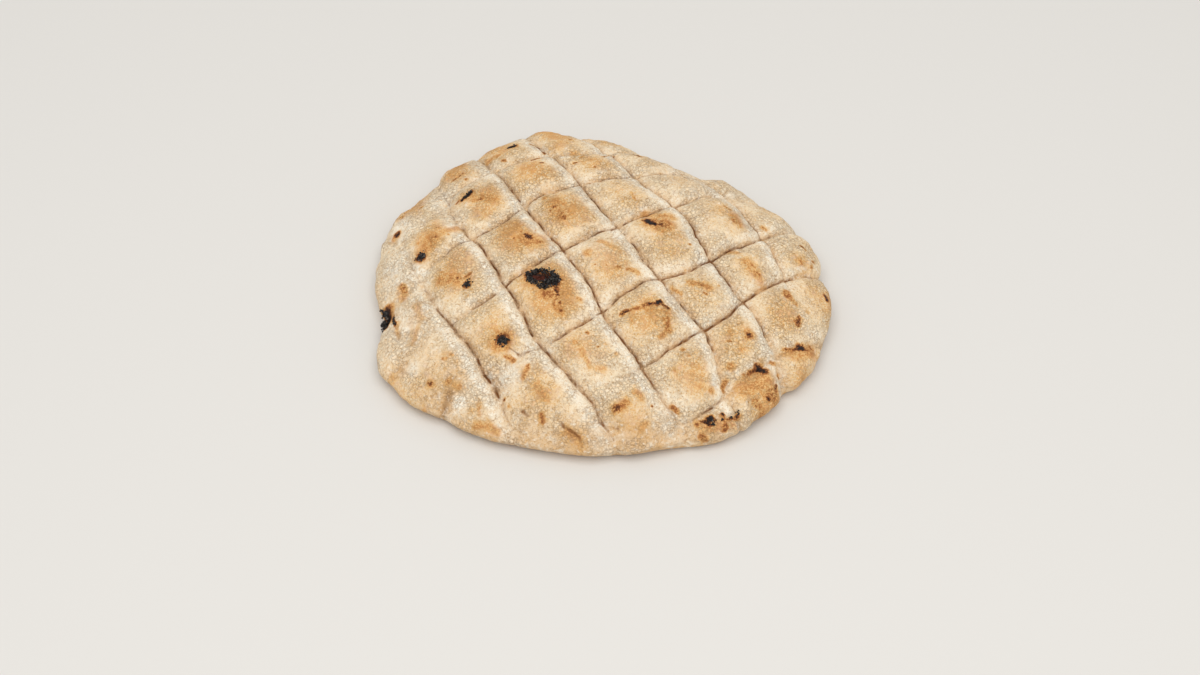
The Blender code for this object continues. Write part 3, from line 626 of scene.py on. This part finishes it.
def burnt(x, y):
    """How dark the burns and their browned haloes make each place."""
    shift_x, shift_y = waver(x, y, BURN_WAVER, BURN_SEED)
    x, y = x + shift_x, y + shift_y
    darkness = np.zeros_like(x)
    rate, power = BURN_FALL
    for *ends, radius, middle in BURNS:
        away = away_from(x, y, *ends) / radius
        darkness = np.maximum(darkness, middle * np.exp(-rate * away**power))
    return darkness


def floured(x, y, rising, falling):
    """Flour left beside the cuts and in a few patches."""
    flour = np.zeros_like(x)
    for cuts, (middle, reach, strength) in zip((rising, falling), FLOURED_LIPS):
        for distance, share in cuts:
            flour = np.maximum(flour, strength * share * np.exp(-(((distance - middle) / reach) ** 2)))
    for patch_x, patch_y, radius, strength in FLOURED:
        flour = np.maximum(flour, strength * np.exp(-((x - patch_x) ** 2 + (y - patch_y) ** 2) / radius**2))
    return flour


def painted_shading(x, y, rising, falling):
    """The strength of the painted shade on the slopes that run down into the cuts and in the hollows."""
    # tan holds the painted shade's strength at each place.
    tan = np.zeros_like(x)
    for cuts, (before, behind) in zip((rising, falling), SLOPE_SHADE_REACH):
        for distance, share in cuts:
            reach = np.where(distance > 0.0, behind, before)
            tan = np.maximum(tan, share * np.exp(-((distance / reach) ** 2)))
    for *ends, radius, strength in PAINTED_SHADE_PLACES:
        tan = np.maximum(tan, strength * np.exp(-((away_from(x, y, *ends) / radius) ** 2)))
    return tan


def crust_piece():
    """The crust with all its relief, and what its material reads at each point."""
    mesh = ball_mesh()
    points = loaf_points(np.array([vertex.co for vertex in mesh.verts]))
    set_points(mesh, points)
    normals = np.array([vertex.normal for vertex in mesh.verts])
    smooth = points.copy()
    x, y = smooth[:, 0], smooth[:, 1]
    rising, falling = all_cuts(x, y)
    shown = smoothstep(PLAIN_BELOW, RIM_HEIGHT_FRONT, smooth[:, 2])
    darkness = burnt(x, y) * shown
    rougher = 1.0 + ROUGHER_BURNT * smoothstep(*CHARRED, darkness)
    slits = slits_of(x, y, rising + falling)
    height = shown * (relief(x, y, rising, falling, slits) + skin(smooth) * rougher)
    points += normals * height[:, None]
    points[:, 2] = np.maximum(points[:, 2], 0.0)
    set_points(mesh, points * MM)

    data = bpy.data.meshes.new("crust")
    mesh.to_mesh(data)
    mesh.free()
    data.shade_smooth()
    above = smoothstep(*UNDERSIDE_EDGE, smooth[:, 2])
    from_hole = away_from(x, y, *BLISTER_HOLE) / BLISTER_HOLE_WIDTH
    paint = {
        "golden": golden(rising, falling) * shown,
        "burnt": darkness,
        "flour": floured(x, y, rising, falling) * shown,
        # The painted shade along the bottoms of the slits.
        "crease": depth_in_cuts(slits, *CREASE_SHADE_REACH) * shown,
        "torn": np.exp(-(from_hole**BLISTER_HOLE_EDGE)) * above,
        # tan: strength of the painted shade on the slopes into the cuts and in the hollows.
        "tan": painted_shading(x, y, rising, falling) * shown,
        "under": 1.0 - above,
    }
    for name, values in paint.items():
        data.attributes.new(name, "FLOAT", "POINT").data.foreach_set("value", values.astype(np.float32))
    return finished_piece("crust", data)


def finished_piece(name, data):
    piece = bpy.data.objects.new(name, data)
    bpy.context.scene.collection.objects.link(piece)
    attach(piece, "root")
    return piece


def crumb_piece(crust):
    """Trails of small burnt crumbs, each crumb a dented ball sunk a little in the crust."""
    rng = np.random.default_rng(RANDOM_SEED)
    surface = BVHTree.FromObject(crust, bpy.context.evaluated_depsgraph_get())
    mesh = bmesh.new()
    ash = []
    for places, spread, heaped, count in CRUMB_TRAILS:
        places = np.array(places)
        passed = np.concatenate(([0.0], np.cumsum(np.hypot(*np.diff(places, axis=0).T))))
        for _ in range(count):
            share = rng.uniform(0.0, passed[-1])
            x, y = (np.interp(share, passed, places[:, axis]) + rng.normal(0.0, spread) for axis in (0, 1))
            size = rng.uniform(*CRUMB_SIZES)
            ash.extend([rng.uniform()] * CRUMB_CORNERS)
            spot, facing = place_on(surface, x, y)
            centre = spot + facing * (rng.uniform(0.0, heaped) * MM)
            angle = rng.uniform(0.0, 2.0 * math.pi)
            turn = Matrix.Rotation(angle, 4, Vector(rng.normal(size=3)).normalized())
            stretch = Matrix.Diagonal((*rng.uniform(*CRUMB_STRETCH, 3), 1.0))
            placed = Matrix.Translation(centre) @ turn @ stretch
            made = bmesh.ops.create_icosphere(mesh, subdivisions=1, radius=size * MM, matrix=placed)
            for vertex in made["verts"]:
                vertex.co += Vector(rng.uniform(-1.0, 1.0, 3)) * (CRUMB_JITTER * size * MM)
    data = bpy.data.meshes.new("burnt_crumbs")
    mesh.to_mesh(data)
    mesh.free()
    data.attributes.new("ash", "FLOAT", "POINT").data.foreach_set("value", ash)
    return finished_piece("burnt_crumbs", data)


def place_on(surface, x, y):
    """The crust's surface over a place in the plan, or its nearest point past the rim."""
    above = Vector((x, y, 2.0 * CROWN_HEIGHT)) * MM
    spot, facing, _, _ = surface.ray_cast(above, Vector((0.0, 0.0, -1.0)))
    if spot is None:
        spot, facing, _, _ = surface.find_nearest(Vector((x, y, RIM_HEIGHT_BACK)) * MM)
    return spot, facing


def colour(red, green, blue):
    """A colour as seen on a screen, 0 to 255, made linear."""
    def linear(level):
        level /= 255.0
        return level / 12.92 if level <= 0.04045 else ((level + 0.055) / 1.055) ** 2.4

    return linear(red), linear(green), linear(blue), 1.0


class Socket:
    """A node's output. Sums, differences and products of sockets add Math nodes."""

    def __init__(self, paint, output):
        self.paint = paint
        self.output = output

    def maths(self, operation, *values):
        return self.paint.node("ShaderNodeMath", {"operation": operation}, values)

    def __add__(self, other):
        return self.maths("ADD", self, other)

    __radd__ = __add__

    def __sub__(self, other):
        return self.maths("SUBTRACT", self, other)

    def __rsub__(self, other):
        return self.maths("SUBTRACT", other, self)

    def __mul__(self, other):
        return self.maths("MULTIPLY", self, other)

    __rmul__ = __mul__

    def size(self):
        return self.maths("ABSOLUTE", self)

    def between(self, low, high):
        """0 below low, 1 above high, smooth in between."""
        values = {"Value": self, "From Min": low, "From Max": high}
        return self.paint.node("ShaderNodeMapRange", {"interpolation_type": "SMOOTHSTEP"}, values)

    def largest(self, other):
        return self.maths("MAXIMUM", self, other)

    def smallest(self, other):
        return self.maths("MINIMUM", self, other)

    def held(self):
        """Kept from 0 to 1."""
        return self.paint.node("ShaderNodeClamp", {}, [self])


class Paint:
    """A material's nodes."""

    def __init__(self, name):
        self.material = bpy.data.materials.new(name)
        self.material.use_nodes = True
        self.tree = self.material.node_tree
        self.shader = self.tree.nodes["Principled BSDF"]

    def node(self, kind, settings, values, output=0):
        """Adds a node: its settings first, then the values or links of its inputs."""
        made = self.tree.nodes.new(kind)
        for name, setting in settings.items():
            if name == "stops":
                self.set_stops(made.color_ramp, setting)
            else:
                setattr(made, name, setting)
        pairs = values.items() if isinstance(values, dict) else enumerate(values)
        for name, value in pairs:
            self.fill(made.inputs[name], value)
        return Socket(self, made.outputs[output])

    def fill(self, entry, value):
        if isinstance(value, Socket):
            self.tree.links.new(value.output, entry)
        else:
            entry.default_value = value

    def set_stops(self, ramp, stops):
        for _ in stops[2:]:
            ramp.elements.new(0.5)
        for element, (position, shade) in zip(ramp.elements, stops):
            element.position = position
            element.color = shade

    def place(self):
        """The place on the piece, in millimetres."""
        metres = self.node("ShaderNodeTexCoord", {}, [], "Object")
        return self.node("ShaderNodeVectorMath", {"operation": "SCALE"}, {"Vector": metres, "Scale": 1.0 / MM})

    def attribute(self, name):
        return self.node("ShaderNodeAttribute", {"attribute_name": name}, [], "Fac")

    def noise(self, where, length, detail, roughness=0.5):
        """Noise from 0 to 1 with lumps of this length, in the unit of where."""
        values = {"Vector": where, "Scale": 1.0 / length, "Detail": detail, "Roughness": roughness}
        return self.node("ShaderNodeTexNoise", {}, values, "Fac")

    def mixed(self, share, first, second):
        values = {"Factor": share, 6: first, 7: second}
        return self.node("ShaderNodeMix", {"data_type": "RGBA"}, values, 2)

    def bump(self, strength, distance, height):
        values = {"Strength": strength, "Distance": distance, "Height": height}
        return self.node("ShaderNodeBump", {}, values, "Normal")

    def set(self, **values):
        for name, value in values.items():
            self.fill(self.shader.inputs[name.replace("_", " ").title()], value)


# From floury dough through gold and brown to char.
TOAST = (
    (0.00, colour(243, 226, 196)),
    (0.20, colour(236, 208, 166)),
    (0.40, colour(228, 184, 122)),
    (0.56, colour(212, 152, 88)),
    (0.70, colour(158, 96, 50)),
    (0.84, colour(84, 48, 28)),
    (0.94, colour(34, 26, 23)),
)
FLOUR = colour(248, 239, 220)
# Colours of painted shade: on the slopes into the cuts, and darker in the hollows.
SLOPE_SHADE_COLOUR = colour(208, 160, 104)
HOLLOW_SHADE_COLOUR = colour(158, 122, 84)
# The colour of the painted shade in the bottoms of the cuts.
CREASE_SHADE_COLOUR = colour(142, 94, 52)
# Gold of the pits and low places of the grain, partly the crust's own colour and partly painted warm shade.
PIT_GOLD_AND_SHADE = colour(206, 158, 98)
SPECK_BROWN = colour(172, 122, 72)
TORN_RED = colour(84, 36, 20)
# Lengths of the crust's own unevenness of colour, from wide blotches down to grain.
BLOTCH_LENGTH = 11.0
CLOUD_LENGTH = 4.5
FUZZ_LENGTH = 1.6
GRAIN_LENGTH = 0.8
# The most that the crust browns where nothing has burnt it, and the browning of the underside.
MOST_GOLDEN = 0.53
UNDERSIDE_TOAST = 0.48
BUMP_HEIGHT = 1.5 * MM


def crust_material():
    """Dough browned by its attributes, then given painted shade on its slopes and in its hollows, floured,
    given pits whose gold is partly painted warm shade, cracked, given painted shade in the bottoms of its cuts
    and torn, each over the last.
    """
    paint = Paint("baked_crust")
    where = paint.place()
    blotches = paint.noise(where, BLOTCH_LENGTH, 3.0)
    patches = paint.noise(where, CLOUD_LENGTH, 3.0, 0.6)
    fuzz = paint.noise(where, FUZZ_LENGTH, 4.0, 0.7)
    grain = paint.noise(where, GRAIN_LENGTH, 3.0, 0.7)
    bent = paint.node("ShaderNodeTexNoise", {}, {"Vector": where, "Scale": 0.7, "Detail": 2.0}, "Color")
    bent = paint.node("ShaderNodeVectorMath", {"operation": "MULTIPLY_ADD"}, [bent, (2.6, 2.6, 2.6), where])
    cells = {"Vector": bent, "Scale": 0.6}
    gaps = paint.node("ShaderNodeTexVoronoi", {"feature": "DISTANCE_TO_EDGE"}, cells, "Distance")
    pebbles = gaps.between(0.0, 0.3)
    cracked = (1.0 - gaps.between(0.0, 0.09)) * paint.noise(where, 12.0, 2.0).between(0.4, 0.6)
    folds = paint.noise(where, 6.0, 5.0, 0.62) - 0.5
    wrinkled = (1.0 - folds.size().between(0.0, 0.02)) * paint.noise(where, 8.0, 2.0).between(0.42, 0.58)

    # The browning of the pillows.
    golden_share = paint.attribute("golden")
    burnt_share = paint.attribute("burnt")
    under = paint.attribute("under")
    sprinkled = 1.5 * (fuzz - 0.45) + 1.1 * (grain - 0.5)
    stippled = 0.55 * fuzz.between(0.36, 0.64) + 0.45 * grain.between(0.38, 0.62) - 0.5
    freckled = golden_share * (0.35 + 0.5 * blotches + 0.9 * (patches - 0.4) + sprinkled)
    toast = 0.57 * freckled.held() + 0.34 * (patches - 0.46) + 0.3 * (blotches - 0.4)
    toast = toast + 0.16 * stippled + 0.1 * sprinkled
    toast = toast.smallest(MOST_GOLDEN)

    # The burns, ragged at their edges, and the brown underside.
    char = burnt_share.between(0.8, 0.95)
    uneven = burnt_share.between(0.05, 0.4) * (1.0 - 0.8 * char)
    ragged = burnt_share + uneven * (0.7 * (patches - 0.52) + 0.36 * stippled)
    ragged = ragged.smallest(burnt_share + 0.07)
    toast = toast.largest(ragged).largest(UNDERSIDE_TOAST * under + 0.25 * (blotches - 0.5)).held()
    shade = paint.node("ShaderNodeValToRGB", {"stops": TOAST}, [toast], "Color")

    # Painted shade on the slopes down into the cuts, and darker painted shade in the hollows.
    tan = paint.attribute("tan")
    slope_shade = tan * (0.1 + 1.1 * fuzz) * (1.0 - burnt_share.between(0.45, 0.75))
    shade = paint.mixed(slope_shade.held(), shade, SLOPE_SHADE_COLOUR)
    shade = paint.mixed(tan.between(0.9, 1.5) * (0.4 + 1.0 * fuzz), shade, HOLLOW_SHADE_COLOUR)

    # Flour, on the lips of the cuts and between the golden patches.
    dusted = paint.attribute("flour") + 0.55 * patches.between(0.5, 0.62) * (1.0 - golden_share)
    flour = dusted * (0.1 + 1.9 * (fuzz - 0.1)) * (1.0 - burnt_share.between(0.35, 0.6))
    shade = paint.mixed(flour.held(), shade, FLOUR)

    # Flecks, pits and fine cracks of the pale skin. The gold in the low places of the grain is partly the
    # crust's colour there and partly painted warm shade.
    pale = 1.0 - toast.between(0.4, 0.58)
    shade = paint.mixed(0.75 * fuzz.between(0.54, 0.63) * pale, shade, FLOUR)
    pits_and_cavity_shade = 0.7 * grain.between(0.54, 0.63) + 0.4 * (1.0 - fuzz.between(0.36, 0.45))
    shade = paint.mixed(pits_and_cavity_shade.smallest(0.85) * pale, shade, PIT_GOLD_AND_SHADE)
    shade = paint.mixed((0.25 * cracked + 0.5 * wrinkled) * pale, shade, SPECK_BROWN)

    # Painted shade darkening the bottoms of the cuts, held in browned, and the torn blister.
    browned = paint.attribute("crease").between(0.2, 0.85) * (0.25 + 0.8 * patches.between(0.35, 0.6))
    shade = paint.mixed(browned.held(), shade, CREASE_SHADE_COLOUR)
    shade = paint.mixed(paint.attribute("torn").between(0.3, 0.8), shade, TORN_RED)

    height = 1.1 * fuzz - 0.7 * grain + 0.12 * pebbles - 0.12 * cracked - 0.08 * wrinkled
    bump = paint.bump(1.0, BUMP_HEIGHT, height)
    paint.set(Base_Color=shade, Roughness=0.85 - 0.2 * char, Normal=bump)
    paint.shader.inputs["Specular IOR Level"].default_value = 0.3
    return paint.material


CHAR_BLACK = colour(16, 12, 10)
CHAR_BROWN = colour(58, 32, 20)
ASH_GREY = colour(122, 116, 108)


def char_material():
    """Black crumbs, some browner and a few dusted with ash."""
    paint = Paint("char")
    lumps = paint.noise(paint.place(), 0.6, 3.0)
    ash = paint.attribute("ash")
    shade = paint.mixed(lumps.between(0.55, 0.75), CHAR_BLACK, CHAR_BROWN)
    shade = paint.mixed(0.7 * ash.between(0.86, 1.0), shade, ASH_GREY)
    bump = paint.bump(0.8, MM, 0.3 * lumps)
    paint.set(Base_Color=shade, Roughness=0.3 + 0.4 * ash, Normal=bump)
    return paint.material


TABLE_REACH = 3.0
TABLE_COLOUR = colour(220, 218, 214)


def table_top():
    mesh = bmesh.new()
    bmesh.ops.create_grid(mesh, x_segments=1, y_segments=1, size=TABLE_REACH)
    data = bpy.data.meshes.new("table_top")
    mesh.to_mesh(data)
    mesh.free()
    paint = Paint("pale_table")
    paint.set(Base_Color=TABLE_COLOUR, Roughness=0.9)
    data.materials.append(paint.material)
    top = bpy.data.objects.new("table_top", data)
    bpy.context.scene.collection.objects.link(top)


def aimed(thing, place, target):
    thing.location = place
    thing.rotation_euler = (Vector(target) - Vector(place)).to_track_quat("-Z", "Y").to_euler()
    bpy.context.scene.collection.objects.link(thing)


# The soft lamp before and above the loaf, and the even light all round.
WINDOW_PLACE = (0.0, -0.38, 1.25)
WINDOW_SIZE = 1.3
WINDOW_POWER = 10.8
WINDOW_COLOUR = (1.0, 0.985, 0.965)
ROOM_COLOUR = (1.0, 0.99, 0.975, 1.0)
ROOM_STRENGTH = 0.66


def window():
    lamp = bpy.data.lights.new("window", "AREA")
    lamp.size = WINDOW_SIZE
    lamp.energy = WINDOW_POWER
    lamp.color = WINDOW_COLOUR
    aimed(bpy.data.objects.new("window", lamp), WINDOW_PLACE, (0.0, 0.0, 0.0))


CAMERA_LENS = 60.0
CAMERA_SENSOR = 36.0
CAMERA_ELEVATION = math.radians(50.0)
CAMERA_DISTANCE = 0.890
CAMERA_TARGET = Vector((-0.0009, -0.0242, 0.0))


def camera():
    view = bpy.data.cameras.new("camera")
    view.lens = CAMERA_LENS
    view.sensor_width = CAMERA_SENSOR
    back = Vector((0.0, -math.cos(CAMERA_ELEVATION), math.sin(CAMERA_ELEVATION)))
    eye = bpy.data.objects.new("camera", view)
    aimed(eye, CAMERA_TARGET + back * CAMERA_DISTANCE, CAMERA_TARGET)
    bpy.context.scene.camera = eye


def surroundings():
    world = bpy.data.worlds.new("studio")
    world.use_nodes = True
    background = world.node_tree.nodes["Background"]
    background.inputs["Color"].default_value = ROOM_COLOUR
    background.inputs["Strength"].default_value = ROOM_STRENGTH
    bpy.context.scene.world = world
    bpy.context.scene.view_settings.view_transform = "Standard"


crust = crust_piece()
crust.data.materials.append(crust_material())
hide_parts("somun_bread")
crumbs = crumb_piece(crust)
crumbs.data.materials.append(char_material())

table_top()
surroundings()
window()
camera()
